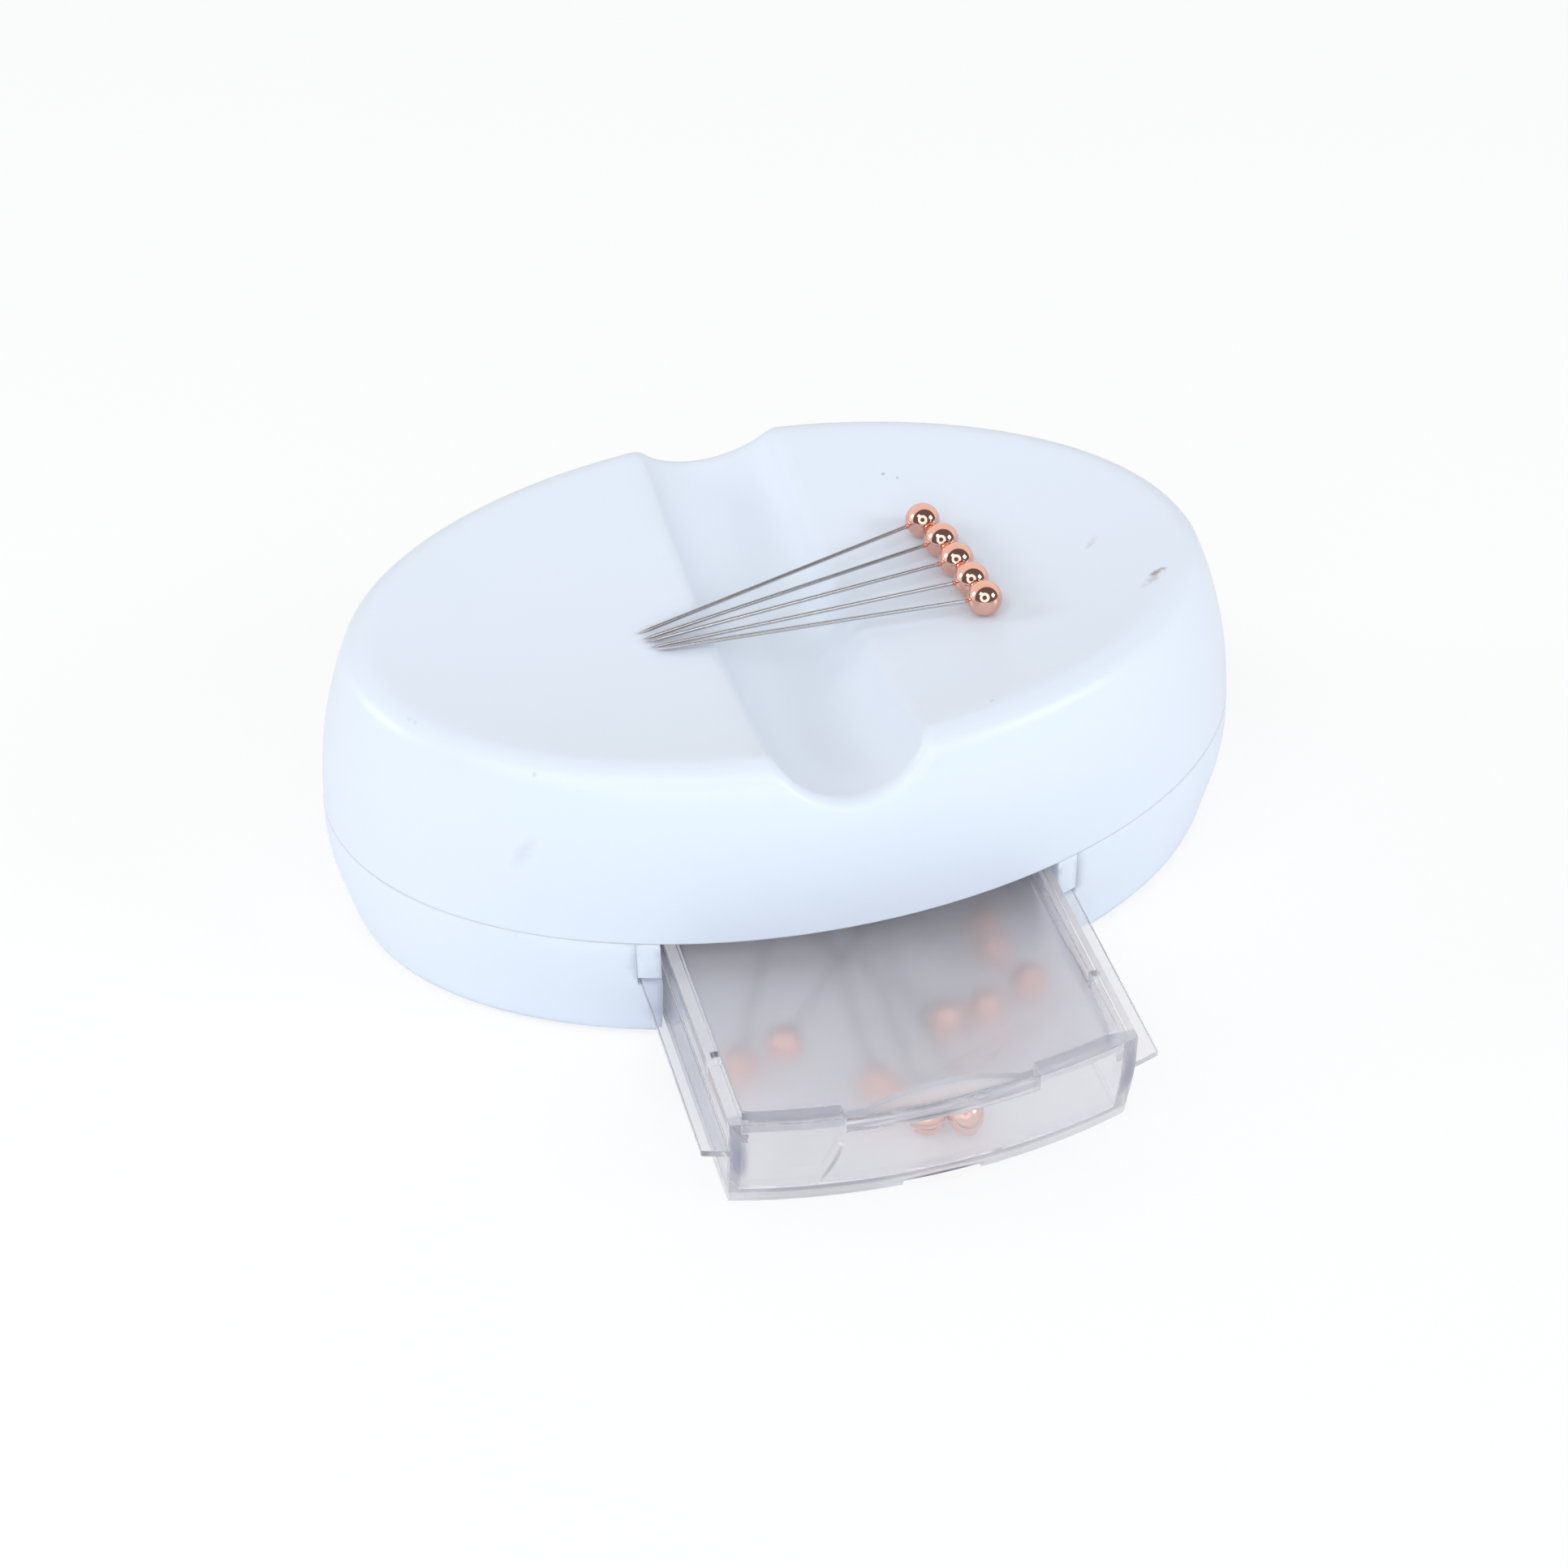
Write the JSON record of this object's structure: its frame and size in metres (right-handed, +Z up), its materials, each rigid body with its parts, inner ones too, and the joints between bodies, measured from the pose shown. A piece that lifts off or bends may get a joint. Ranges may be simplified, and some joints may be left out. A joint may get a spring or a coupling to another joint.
{
  "type": "magnetic pin holder",
  "caption": "Oval magnetic pin dish with a finger groove on a hollow case, with a sliding clear drawer under a frosted lid, and ball-headed pins.",
  "frame": {"origin": "centre of the oval case on the surface under its feet", "axes": "+X along the case, +Z up, the drawer opens towards -Y"},
  "size_m": [0.106, 0.0958, 0.0367],
  "materials": {
    "case_plastic": "satin",
    "inner_plastic": "matte",
    "ferrite": "matte",
    "foam": "matte",
    "screw_steel": "satin",
    "foot_rubber": "matte",
    "clear_plastic": "clear gloss",
    "frosted_plastic": "frosted",
    "pin_steel": "polished",
    "rose_metal": "polished rose copper"
  },
  "bodies": {
    "case": {"upper_shell": "case_plastic", "lower_shell": "case_plastic", "drawer_frame": "case_plastic", "magnet_carrier": "inner_plastic", "magnet_left": "ferrite", "magnet_right": "ferrite", "magnet_pad_left": "foam", "magnet_pad_right": "foam", "shell_screws": "screw_steel", "frame_screws": "screw_steel", "carrier_screws": "screw_steel", "rubber_foot_1": "foot_rubber", "rubber_foot_2": "foot_rubber", "rubber_foot_3": "foot_rubber", "rubber_foot_4": "foot_rubber"},
    "drawer": {"drawer_tray": "clear_plastic", "drawer_lid": "frosted_plastic", "drawer_pin_shanks": "pin_steel", "drawer_pin_heads": "rose_metal"},
    "pin_1": {"pin_1_shank": "pin_steel", "pin_1_head": "rose_metal"},
    "pin_2": {"pin_2_shank": "pin_steel", "pin_2_head": "rose_metal"},
    "pin_3": {"pin_3_shank": "pin_steel", "pin_3_head": "rose_metal"},
    "pin_4": {"pin_4_shank": "pin_steel", "pin_4_head": "rose_metal"},
    "pin_5": {"pin_5_shank": "pin_steel", "pin_5_head": "rose_metal"}
  },
  "joints": [
    {"name": "drawer_slide", "type": "slide", "parent": "case", "child": "drawer", "axis": [0, -1, 0], "range_m": [-0.0258, 0.0142]},
    {"name": "pin_1_lift", "type": "slide", "parent": "case", "child": "pin_1", "axis": [0, 0, 1], "range_m": [0, 0.03]},
    {"name": "pin_2_lift", "type": "slide", "parent": "case", "child": "pin_2", "axis": [0, 0, 1], "range_m": [0, 0.03]},
    {"name": "pin_3_lift", "type": "slide", "parent": "case", "child": "pin_3", "axis": [0, 0, 1], "range_m": [0, 0.03]},
    {"name": "pin_4_lift", "type": "slide", "parent": "case", "child": "pin_4", "axis": [0, 0, 1], "range_m": [0, 0.03]},
    {"name": "pin_5_lift", "type": "slide", "parent": "case", "child": "pin_5", "axis": [0, 0, 1], "range_m": [0, 0.03]}
  ]
}
